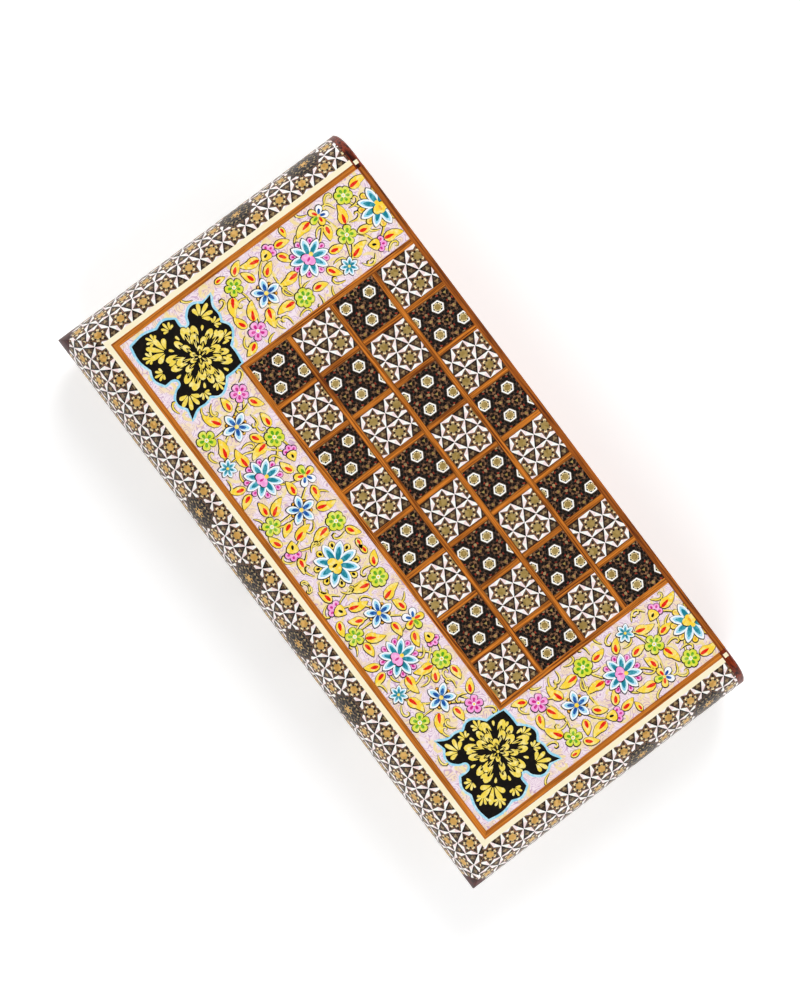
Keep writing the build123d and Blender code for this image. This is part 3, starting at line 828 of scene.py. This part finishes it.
def ground_paint():
    """Pale pink gouache ground, clouded with straw, with hair-fine lilac scrolls all over it."""
    material, tree, surface = lacquered("pale pink gouache ground")
    place = add(tree, "TexCoord").outputs["Object"]
    swirl = add(tree, "TexNoise", {
        "Vector": place, "Scale": 1 / (SCROLL_SIZE * MM), "Detail": 0.0, "Distortion": 1.2,
    })
    waves = add(tree, "Math", {0: swirl.outputs["Fac"], 1: SCROLL_LINES}, operation="MULTIPLY")
    ridge = add(tree, "Math", {0: waves.outputs[0], 1: 0.5}, operation="PINGPONG")
    line = add(tree, "MapRange", {
        "Value": ridge.outputs[0], "From Min": 0.05, "From Max": 0.2, "To Min": 0.85, "To Max": 0.0,
    })
    clouds = add(tree, "TexNoise", {"Vector": place, "Scale": 1 / (CLOUD_SIZE * MM), "Detail": 2.0})
    cloud = add(tree, "MapRange", {
        "Value": clouds.outputs["Fac"], "From Min": 0.47, "From Max": 0.58, "To Max": 0.85,
    })
    base = add(tree, "Mix", {
        0: cloud.outputs[0], 6: linear("#F9E8F0"), 7: linear("#F9E2B8"),
    }, data_type="RGBA")
    colour = add(tree, "Mix", {
        0: line.outputs[0], 6: base.outputs[2], 7: linear("#CBA4C6"),
    }, data_type="RGBA")
    tree.links.new(colour.outputs[2], surface.inputs["Base Color"])
    return material


def gouache(name, colour, thinned):
    """Opaque gouache: even, with a thinner wash here and there."""
    material, tree, surface = lacquered(f"{name} gouache")
    wash = add(tree, "TexNoise", {
        "Vector": add(tree, "TexCoord").outputs["Object"], "Scale": 1 / (WASH_SIZE * MM), "Detail": 2.0,
    })
    thin = add(tree, "MapRange", {"Value": wash.outputs["Fac"], "From Min": 0.45, "From Max": 0.7})
    body = add(tree, "Mix", {0: thin.outputs[0], 6: linear(colour), 7: linear(thinned)}, data_type="RGBA")
    tree.links.new(body.outputs[2], surface.inputs["Base Color"])
    return material


def mark(
    bm, paint, layer, place, turn, length, width,
    bend=0.0, curl=0.0, tip=0.0, foot=0.0, point=0.0, sides=14
):
    """One brush mark: it starts at place and runs length mm towards turn degrees. Its line bends by
    so many degrees in all, and curl more towards its end. Tip and foot narrow its two halves, and
    point sharpens both ends."""
    def fullness(share, across):
        return across * abs(across) ** point * (1 - tip * share) * (1 - foot * (1 - share))

    fullest = max(fullness(n / sides, sin(pi * n / sides)) for n in range(1, sides))
    line, headings = [place.to_2d()], []
    for step in range(sides + 1):
        share = step / sides
        headings.append(radians(turn + bend * share + curl * share ** 3))
        line.append(line[-1] + Vector((cos(headings[-1]), sin(headings[-1]))) * length / sides)
    top = GROUND + LAYER * layer + STROKE_LIFT * (next(strokes) % LIFTS)
    made = bmesh.ops.create_cone(bm, cap_ends=True, segments=sides, radius1=1, radius2=1, depth=2)["verts"]
    for vert in made:
        share = min(max((1 + vert.co.x) / 2, 0), 1)
        step = min(int(share * sides), sides - 1)
        middle = line[step].lerp(line[step + 1], share * sides - step)
        side = Vector((-sin(headings[step]), cos(headings[step])))
        reach = fullness(share, vert.co.y) / fullest * width / 2
        vert.co = (middle + side * reach).to_3d() + Vector((0, 0, top if vert.co.z > 0 else GROUND - LAYER))
    for face in {face for vert in made for face in vert.link_faces}:
        face.material_index = PAINTS.index(paint)


def outlined(bm, paint, layer, place, turn, length, width, shade=(0.2, -0.2), **shape):
    """A mark in its dark outline, which is heavier on the shaded side."""
    back = place - spot(OUTLINE, turn) + Vector((*shade, 0))
    mark(bm, "ink", layer - 1, back, turn, length + 2.2 * OUTLINE, width + 2 * OUTLINE, **shape)
    mark(bm, paint, layer, place, turn, length, width, **shape)


def leaf(bm, place, turn, length=12.0, bend=30.0):
    """A yellow leaf with a red heart at its foot."""
    outlined(bm, "yellow", 2, place, turn, length, length * 0.5, bend=bend, tip=0.5, point=0.35)
    start = place + spot(length * 0.1, turn)
    mark(
        bm, "red", 3, start, turn, length * 0.5, length * 0.22,
        bend=bend * 0.5, tip=0.3, point=0.2, sides=10
    )


def split_leaf(bm, place, turn, length=14.0, way=1):
    """A larger leaf, one side of which parts into a lobe."""
    outlined(
        bm, "yellow", 2, place, turn + 38 * way, length * 0.66, length * 0.34,
        bend=-50 * way, tip=0.4, point=0.5
    )
    outlined(bm, "yellow", 2, place, turn, length, length * 0.42, bend=35 * way, tip=0.5, point=0.35)
    mark(
        bm, "red", 3, place, turn + 8 * way, length * 0.52, length * 0.17,
        bend=10 * way, tip=0.5, point=0.2, sides=10
    )


def tendril(bm, place, turn, length, way=1):
    """A gold stem that ends in a spiral."""
    outlined(
        bm, "gold", 2, place, turn, length, TENDRIL_WIDTH,
        bend=50 * way, curl=300 * way, tip=0.3, foot=0.3, sides=24
    )


def stem(bm, place, other, bend):
    """A bent gold stem from one place to another."""
    way = other - place
    turn = degrees(atan2(way.y, way.x))
    stretch = radians(abs(bend) / 2) / sin(radians(abs(bend) / 2))
    outlined(bm, "gold", 1, place, turn - bend / 2, way.length * stretch, STEM_WIDTH, bend=bend, sides=18)


def all_round(number, turn, step=0.0):
    """The angles of so many petals. With a step of a half they lie between the others."""
    return [turn + 360 * (n + step) / number for n in range(number)]


def button(bm, paint, layer, place, size):
    mark(bm, paint, layer, place - Vector((size / 2, 0, 0)), 0, size, size, sides=10)


def round_flower(bm, place, size, petals=6, turn=0.0, body="lime", inner="leaf green", heart="yellow"):
    """A flower of round petals with a darker fleck in each."""
    for angle in all_round(petals, turn):
        foot = place + spot(size * 0.06, angle)
        outlined(bm, body, 4, foot, angle, size * 0.42, size * 0.36, foot=0.6, sides=12)
        fleck = place + spot(size * 0.1, angle)
        mark(bm, inner, 5, fleck, angle, size * 0.24, size * 0.15, foot=0.4, sides=8)
    button(bm, "white", 6, place, size * 0.2)
    button(bm, heart, 7, place, size * 0.12)


def star_flower(bm, place, size, petals=5, turn=90.0, body="white", inner="blue"):
    """A flower of pointed petals, white at their edges, with small golden buds between them."""
    for angle in all_round(petals, turn, 0.5):
        bud = place + spot(size * 0.14, angle)
        outlined(bm, "orange", 3, bud, angle, size * 0.22, size * 0.13, foot=0.3, sides=10)
        mark(bm, "ink", 4, bud + spot(size * 0.05, angle), angle, size * 0.12, size * 0.05, sides=8)
    for angle in all_round(petals, turn):
        foot = place + spot(size * 0.04, angle)
        outlined(bm, body, 5, foot, angle, size * 0.46, size * 0.26, foot=0.2, point=0.6)
        mark(bm, "sky", 6, foot, angle, size * 0.38, size * 0.17, foot=0.2, point=0.4, sides=10)
        mark(bm, inner, 7, foot, angle, size * 0.28, size * 0.12, foot=0.1, tip=0.2, point=0.2, sides=10)
    button(bm, "yellow", 8, place, size * 0.15)


def lotus(bm, place, size, turn=90.0, bud="pink", seed="magenta", petals=8):
    """The large flower: pointed teal petals with white edges, buds between them, and a round cup."""
    for angle in all_round(petals, turn, 0.5):
        foot = place + spot(size * 0.32, angle)
        outlined(bm, bud, 3, foot, angle, size * 0.17, size * 0.14, foot=0.2, sides=10)
        mark(bm, seed, 4, foot + spot(size * 0.04, angle), angle, size * 0.09, size * 0.06, sides=8)
    for angle in all_round(petals, turn):
        foot = place + spot(size * 0.06, angle)
        outlined(bm, "white", 5, foot, angle, size * 0.44, size * 0.21, foot=0.1, point=0.6)
        mark(bm, "sky", 6, foot, angle, size * 0.38, size * 0.14, foot=0.2, point=0.4, sides=10)
        mark(bm, "teal", 7, foot, angle, size * 0.31, size * 0.11, foot=0.1, tip=0.3, point=0.2, sides=10)
    cup = place - spot(size * 0.05, turn)
    for spread in (-40, 0, 40):
        mouth = cup + spot(size * 0.1, turn)
        outlined(bm, bud, 8, mouth, turn + 180 + spread, size * 0.24, size * 0.18, foot=0.3, sides=12)
    fleck = cup + spot(size * 0.06, turn)
    mark(bm, seed, 9, fleck, turn + 180, size * 0.13, size * 0.06, point=0.3, sides=8)
    button(bm, "yellow", 9, place + spot(size * 0.09, turn), size * 0.11)


def bell(bm, place, size, turn=0.0, fringe="pink", seed="magenta"):
    """A side-on flower: a yellow cup with a dark seed, and three round petals at its mouth."""
    foot = place - spot(size * 0.45, turn)
    mouth = place + spot(size * 0.12, turn)
    for spread in (-62, 62, 0):
        petal = mouth + spot(size * 0.1, turn + spread)
        outlined(bm, fringe, 4, petal, turn + spread, size * 0.36, size * 0.34, foot=0.2, sides=12)
        fleck = petal + spot(size * 0.08, turn + spread)
        mark(bm, seed, 5, fleck, turn + spread, size * 0.18, size * 0.13, sides=8)
    outlined(bm, "yellow", 7, foot, turn, size * 0.64, size * 0.6, foot=0.75, sides=12)
    mark(bm, "ink", 8, foot + spot(size * 0.2, turn), turn, size * 0.26, size * 0.14, tip=0.3, sides=10)


def pansy(bm, place, size, turn=0.0):
    """A flower with two white and blue petals, two yellow and red ones, and a green one."""
    looks = (
        ("white", "blue"), ("white", "blue"), ("yellow", "red"), ("lime", "leaf green"), ("yellow", "red"),
    )
    for n, (body, inner) in enumerate(looks):
        angle = turn + 360 * n / len(looks)
        foot = place + spot(size * 0.05, angle)
        outlined(bm, body, 4, foot, angle, size * 0.46, size * 0.32, foot=0.5, point=0.1, sides=12)
        mark(bm, inner, 5, foot, angle, size * 0.3, size * 0.14, foot=0.2, point=0.2, sides=10)
    button(bm, "yellow", 6, place, size * 0.16)


# Corner medallions
# In each front corner lies a black cloud-shaped medallion with a pale blue edge, symmetrical about
# the corner's diagonal. A chrysanthemum and small sprays are painted on it in strokes of gold.
MEDALLION_MIDDLE = Vector((180.5, -56, 0))
MEDALLION_EDGE = 1.8
EDGE_LAYERS, PLATE_LAYERS = 3.4, 3.7
INNER_TIP, SIDE_TIP, OUTER_TIP = (-25, -25), (27, -36.5), (30.5, 30.5)
CLOUD_BESIDE_INNER_TIP = (
    ((-17.5, -26), False), ((-10.5, -26), True), ((-6.5, -30.5), False), ((0.5, -34), False),
    ((7, -30.5), True), ((12, -32.5), False), ((19.5, -32.5), False),
)
CLOUD_BESIDE_OUTER_TIP = (
    ((25, -28.5), True), ((28.5, -21), False), ((24.5, -14.5), False), ((18.5, -11), False),
    ((19.5, -6.5), False), ((28, -5.5), True), ((31.5, 2), False), ((29.5, 9), True), ((32, 19), False),
)
SPRAYS = ((18, -20, 64, 10.5), (-3, -25, 92, 6.5), (9, -25, 88, 6), (23, 2, -8, 6.5), (23, 15, -32, 6.5))
PETAL_RINGS = ((13, 11.0, 12.0, 5.4, 4.5, 0), (9, 6.0, 10.0, 5.2, 6, 14), (6, 1.5, 7.0, 4.0, 7.5, 30))
PETAL_LEAN = 9
DROPS, DROP_REACH = 13, 18.5


def cloud_outline():
    """The medallion's outline: half of it, then the same places mirrored about the diagonal. Each
    place is given outwards and towards the front, and says whether the outline breaks there."""
    half = [(INNER_TIP, True), *CLOUD_BESIDE_INNER_TIP, (SIDE_TIP, True), *CLOUD_BESIDE_OUTER_TIP]
    return half + [(OUTER_TIP, True)] + [((q, p), sharp) for (p, q), sharp in half[:0:-1]]


def cloud_shape(bm, paint, edge=0.0):
    """The medallion's flat black shape, or where edge is given, a band that wide along its outline."""
    curve = bpy.data.curves.new("medallion outline", "CURVE")
    curve.dimensions, curve.fill_mode = ("3D", "FULL") if edge else ("2D", "BOTH")
    curve.bevel_depth, curve.bevel_resolution = edge, 1
    outline = cloud_outline()
    spline = curve.splines.new("BEZIER")
    spline.bezier_points.add(len(outline) - 1)
    for point, ((p, q), sharp) in zip(spline.bezier_points, outline):
        point.co = MEDALLION_MIDDLE + Vector((p, -q, 0))
        point.handle_left_type = point.handle_right_type = "VECTOR" if sharp else "AUTO"
    spline.use_cyclic_u = True
    shape = bmesh.new()
    shape.from_mesh(bpy.data.meshes.new_from_object(bpy.data.objects.new("medallion outline", curve)))
    bmesh.ops.remove_doubles(shape, verts=shape.verts, dist=WELD)
    bmesh.ops.recalc_face_normals(shape, faces=shape.faces)
    if edge:
        bmesh.ops.scale(shape, vec=(1, 1, EDGE_LAYERS * LAYER / edge), verts=shape.verts)
        bmesh.ops.translate(shape, vec=(0, 0, GROUND), verts=shape.verts)
    else:
        for face in shape.faces:
            if face.normal.z < 0:
                face.normal_flip()
        bmesh.ops.translate(shape, vec=(0, 0, GROUND + PLATE_LAYERS * LAYER), verts=shape.verts)
        bmesh.ops.solidify(shape, geom=shape.faces[:], thickness=(PLATE_LAYERS + 1) * LAYER)
    for face in shape.faces:
        face.material_index = PAINTS.index(paint)
    bm.from_mesh(as_mesh(shape))


def gold_petal(bm, place, angle, length, width, layer):
    """A petal in gold, dark towards its foot, with two gold hairs."""
    outlined(bm, "gold", layer, place, angle, length, width, shade=(0, 0), foot=0.5, point=0.25, sides=12)
    mark(bm, "ink", layer + 0.8, place, angle, length * 0.64, width * 0.8, tip=0.6, sides=8)
    for spread in (-8, 8):
        mark(bm, "gold", layer + 1.6, place, angle + spread, length * 0.6, width * 0.11, tip=0.3, sides=6)


def spray(bm, place, turn, length):
    """A tuft of gold drops that spread from one foot."""
    for spread, share in ((-56, 0.6), (-29, 0.85), (0, 1.0), (29, 0.85), (56, 0.6)):
        foot = place + spot(length * 0.18, turn + spread)
        mark(bm, "gold", 4, foot, turn + spread, length * share, length * 0.27, bend=spread * 0.5, foot=0.75)


def medallion(bm):
    cloud_shape(bm, "sky", MEDALLION_EDGE)
    cloud_shape(bm, "ink")
    heart = MEDALLION_MIDDLE + Vector((-4, 4, 0))
    for petals, reach, length, width, layer, turn in PETAL_RINGS:
        for n in range(petals):
            angle = turn + 360 * n / petals
            wave = 1 + 0.16 * sin(5 * radians(angle) + 0.8)
            foot, lean = heart + spot(reach, angle), PETAL_LEAN * (-1) ** n
            gold_petal(bm, foot, angle + lean, length * wave, width * wave, layer)
    for n in range(DROPS):
        angle = 360 * (n + 0.5) / DROPS
        mark(bm, "gold", 4.5, heart + spot(DROP_REACH, angle), angle, 4.2, 2.0, foot=0.6, sides=8)
    button(bm, "gold", 9, heart, 2.2)
    spray(bm, MEDALLION_MIDDLE + Vector((12.5, -12.5, 0)), -45, 13)
    for p, q, turn, length in SPRAYS:
        spray(bm, MEDALLION_MIDDLE + Vector((p, -q, 0)), turn, length)
        spray(bm, MEDALLION_MIDDLE + Vector((q, -p, 0)), -90 - turn, length)


# Planting
# Flowers are set first, the largest near the middle of each band. Leaves then grow outwards from
# them wherever there is room, and small leaves and tendrils fill what is left.
LEAF_LENGTH, SPLIT_LEAF_LENGTH, SMALL_LEAF = 12.0, 15.0, 8.5
SPLIT_LEAF_ROOM, LEAF_ROOM, SMALL_LEAF_HOLDS, TENDRIL_ROOM = 5.4, 4.2, 3.8, 3.3
MEDALLION_HOLDS, MEDALLION_TIP_HOLDS = 34.5, 7.0
CENTRE_FLOWER = 34
MIRROR_GAP = 1
GOLDEN_TURN = 137.5
STRAW_PITCH, FILL_PITCH = 11, 3
FRONT_MIDDLE = (border_low.y + grid_low.y) / 2
END_MIDDLE = (border_high.x + grid_high.x) / 2
PINK = {"body": "pink", "inner": "magenta", "petals": 5}
TEAL = {"inner": "teal", "petals": 7}
FRONT_FLOWERS = (
    (round_flower, 25, 18, 15, {}), (bell, 27, -19, 14, {"turn": -150}), (star_flower, 46, 3, 22, {}),
    (round_flower, 49, -21, 14.5, {"petals": 5, "turn": 20}), (pansy, 64, 20, 16, {"turn": 150}),
    (lotus, 80, -5, 29, {}), (round_flower, 99, 19, 15, {"turn": 10}), (bell, 82, 21.5, 12, {"turn": 10}),
    (star_flower, 101, -21, 14, TEAL), (star_flower, 121, 2, 22, {"turn": 60}),
    (round_flower, 139, 18, 14, PINK), (round_flower, 126, -21, 15, {"petals": 5}),
)
END_FLOWERS = (
    (round_flower, 16, -3, 14, {"petals": 5}), (round_flower, -19, -8, 14.5, PINK),
    (star_flower, -1, 13, 22, {}), (bell, 21, 30, 13, {"turn": 70}),
    (round_flower, -20, 33, 15, {"turn": 15}), (lotus, 1, 53, 29, {"turn": 60}),
    (pansy, 21, 76, 15, {"turn": 40}), (star_flower, -21, 72, 14, TEAL),
    (round_flower, -2, 84, 15, {"petals": 5, "turn": 40}), (bell, -20, 97, 13, {"turn": 120}),
    (lotus, 1, 115, 31, {"turn": 0, "bud": "yellow", "seed": "orange"}),
    (round_flower, 22, 99, 14, {}),
)


def on_border(place, margin):
    """Whether a place on the right half is on the painted ground, so far from its edges."""
    beside = place.x > grid_high.x + margin or place.y < grid_low.y - margin
    return beside and place.x < border_high.x - margin and border_low.y + margin < place.y < border_high.y


def planting(bm):
    """Everything painted on the right half of the border."""
    taken = [(Vector((0, FRONT_MIDDLE, 0)), CENTRE_FLOWER / 2), (MEDALLION_MIDDLE, MEDALLION_HOLDS)]
    for p, q in ((28, -37), (-37, 28), (28, 28)):
        taken.append((MEDALLION_MIDDLE + Vector((p, -q, 0)), MEDALLION_TIP_HOLDS))
    held_back = len(taken)

    def room(place, reach):
        return place.x > MIRROR_GAP and on_border(place, reach) and all(
            (place - other).length > reach + held for other, held in taken
        )

    places = [
        (flower, Vector((x, FRONT_MIDDLE + y, 0)), size, look)
        for flower, x, y, size, look in FRONT_FLOWERS
    ] + [
        (flower, Vector((END_MIDDLE + x, y, 0)), size, look)
        for flower, x, y, size, look in END_FLOWERS
    ]
    for column in range(0, int(border_high.x), STRAW_PITCH):
        for row in range(int(border_low.y), int(border_high.y), STRAW_PITCH):
            place = Vector((column, row, 0))
            if on_border(place, 5):
                turn = GOLDEN_TURN * (column + 3 * row)
                mark(bm, "straw", 0.5, place, turn, 15, 2.6, bend=60, curl=220, tip=0.4, foot=0.4, sides=16)
    for number, (flower, place, size, look) in enumerate(places):
        if number % len(FRONT_FLOWERS):
            stem(bm, places[number - 1][1], place, 70 if number % 2 else -70)
        flower(bm, place, size, **look)
        taken.append((place, size * 0.46))
    flowers = taken[held_back:]
    for number, (place, reach) in enumerate(flowers):
        way = 1 if number % 2 else -1
        for turn in range(15 * number, 15 * number + 360, 45):
            foot = place + spot(reach + 1.0, turn)
            middle = foot + spot(SPLIT_LEAF_LENGTH * 0.5, turn + 15 * way)
            if room(middle, SPLIT_LEAF_ROOM):
                split_leaf(bm, foot, turn, SPLIT_LEAF_LENGTH, way)
                taken.append((middle, SPLIT_LEAF_ROOM))
                break
    for place, reach in flowers:
        for number, turn in enumerate(range(15, 375, 24)):
            way = 1 if number % 2 else -1
            foot = place + spot(reach + 1.2, turn)
            middle = foot + spot(LEAF_LENGTH * 0.5, turn + 12 * way)
            if room(middle, LEAF_ROOM):
                leaf(bm, foot, turn, LEAF_LENGTH, 30 * way)
                taken.append((middle, LEAF_ROOM))
    fill = [
        Vector((x, y, 0))
        for x in range(2, int(border_high.x), FILL_PITCH)
        for y in range(int(border_low.y), int(border_high.y), FILL_PITCH)
    ]
    for number, place in enumerate(fill):
        turn = GOLDEN_TURN * number
        if room(place, LEAF_ROOM):
            leaf(bm, place - spot(SMALL_LEAF / 2, turn), turn, SMALL_LEAF, 25)
            taken.append((place, SMALL_LEAF_HOLDS))
        elif room(place, TENDRIL_ROOM):
            tendril(bm, place - spot(3, turn), turn, 16, 1 if number % 2 else -1)
            taken.append((place, TENDRIL_ROOM))


def mirrored_copy(bm):
    """Adds the left half's marks."""
    made = bmesh.ops.duplicate(bm, geom=everything(bm))["geom"]
    bmesh.ops.scale(bm, vec=(-1, 1, 1), verts=verts_of(made))
    bmesh.ops.reverse_faces(bm, faces=[part for part in made if isinstance(part, bmesh.types.BMFace)])


def border_ground():
    """The U-shaped veneer that carries the painting."""
    bm = bmesh.new()
    bmesh.ops.create_grid(bm, x_segments=1, y_segments=1, size=1)
    bmesh.ops.scale(bm, vec=(border_high.x, (border_high.y - border_low.y) / 2, 1), verts=bm.verts)
    bmesh.ops.translate(bm, vec=(0, (border_high.y + border_low.y) / 2, GROUND), verts=bm.verts)
    for place, outward in (
        ((grid_high.x, 0, 0), (1, 0, 0)), ((grid_low.x, 0, 0), (1, 0, 0)), ((0, grid_low.y, 0), (0, 1, 0)),
    ):
        bmesh.ops.bisect_plane(bm, geom=everything(bm), dist=WELD, plane_co=place, plane_no=outward)
    notch = [
        face for face in bm.faces
        if abs(face.calc_center_median().x) < grid_high.x and face.calc_center_median().y > grid_low.y
    ]
    bmesh.ops.delete(bm, geom=notch, context="FACES")
    backed(bm, GROUND - border_low.z)
    return bm


painting = bmesh.new()
planting(painting)
medallion(painting)
mirrored_copy(painting)
lotus(painting, Vector((0, FRONT_MIDDLE, 0)), CENTRE_FLOWER, bud="yellow", seed="ink")
sawn(painting, border_high, (0, 1, 0))
painted = as_mesh(painting, "painting")
paint_materials = [ground_paint()] + [gouache(paint, *PAINT_COLOURS[paint]) for paint in PAINTS[1:]]
for half in HALVES:
    bm = border_ground()
    bm.from_mesh(painted)
    if half == "base":
        turned_over(bm)
    fitted(bm, f"{half}_border_painting", half, paint_materials, "painted_panel", f"{half}_painted_border")


# Hinges and magnets
# Two small pressed brass hinges are let into the hinge rails and held by brass screws. Pairs of
# nickel-plated disc magnets in the front rails keep the board shut.
WORN_SIZE, BRUSHED, BRUSH_RUN = 6, 0.35, 9


def plated(name, colour, dull, roughness):
    """Metal with a soft sheen and faint rubbing marks, a little duller where it has been handled."""
    material, tree = empty_material(name)
    place = add(tree, "TexCoord").outputs["Object"]
    worn = add(tree, "TexNoise", {"Vector": place, "Scale": 1 / (WORN_SIZE * MM), "Detail": 3.0})
    tint = add(tree, "Mix", {0: worn.outputs["Fac"], 6: linear(colour), 7: linear(dull)}, data_type="RGBA")
    rough = add(tree, "MapRange", {
        "Value": worn.outputs["Fac"], "From Min": 0.3, "From Max": 0.7,
        "To Min": roughness, "To Max": roughness + 0.18,
    })
    across = 1 / (BRUSHED * MM)
    lines = add(tree, "Mapping", {"Vector": place, "Scale": (1 / (BRUSH_RUN * MM), across, across)})
    rubbed = add(tree, "TexNoise", {"Vector": lines.outputs[0], "Scale": 1.0, "Detail": 2.0})
    bump = add(tree, "Bump", {"Strength": 0.4, "Distance": 0.02 * MM, "Height": rubbed.outputs["Fac"]})
    surface = add(tree, "BsdfPrincipled", {
        "Base Color": tint.outputs[2], "Metallic": 1.0,
        "Roughness": rough.outputs[0], "Normal": bump.outputs[0],
    })
    add(tree, "OutputMaterial", {"Surface": surface.outputs[0]})
    return material


brass = plated("brushed brass", "#E4BC62", "#B88A3C", 0.24)
nickel = plated("nickel plated magnet", "#D2CFC8", "#A9A6A0", 0.2)
for side in ("left", "right"):
    finish_nodes(brass, f"{side}_hinge_base_leaf", f"{side}_hinge_lid_leaf", f"{side}_hinge_pin")
for half in HALVES:
    finish_nodes(brass, f"{half}_hinge_screws")
    finish_nodes(nickel, f"{half}_magnets")
